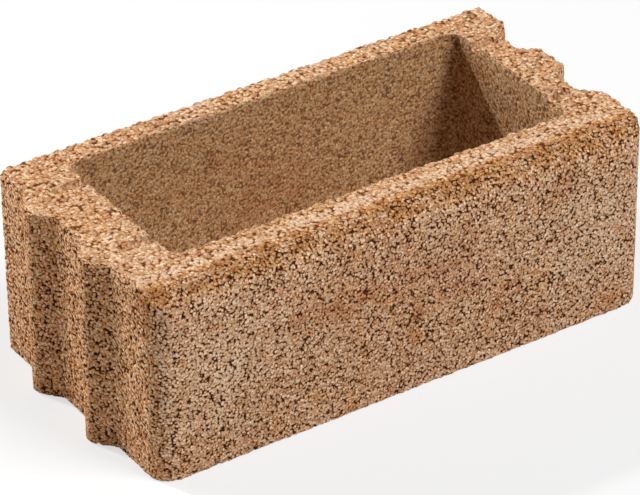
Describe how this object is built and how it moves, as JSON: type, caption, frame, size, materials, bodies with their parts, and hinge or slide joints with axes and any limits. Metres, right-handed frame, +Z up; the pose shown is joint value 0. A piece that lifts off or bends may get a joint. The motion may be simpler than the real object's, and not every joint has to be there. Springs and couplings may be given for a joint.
{
  "type": "hollow concrete wall block",
  "caption": "Hollow garden-wall block in coarse porous sand-coloured concrete, with an open cavity, rounded front edges, tongues on one end and grooves on the other.",
  "frame": {"origin": "centre of the block's overall box (tongues included) on the face it stands on", "axes": "+Z up, +X along the length from the tongues towards the grooves, -Y out of the front face with the rounded top edge"},
  "size_m": [0.4634, 0.225, 0.165],
  "materials": {
    "concrete": "rough open-pored cast concrete, unpolished"
  },
  "bodies": {
    "root": {"block": "concrete"}
  },
  "joints": []
}
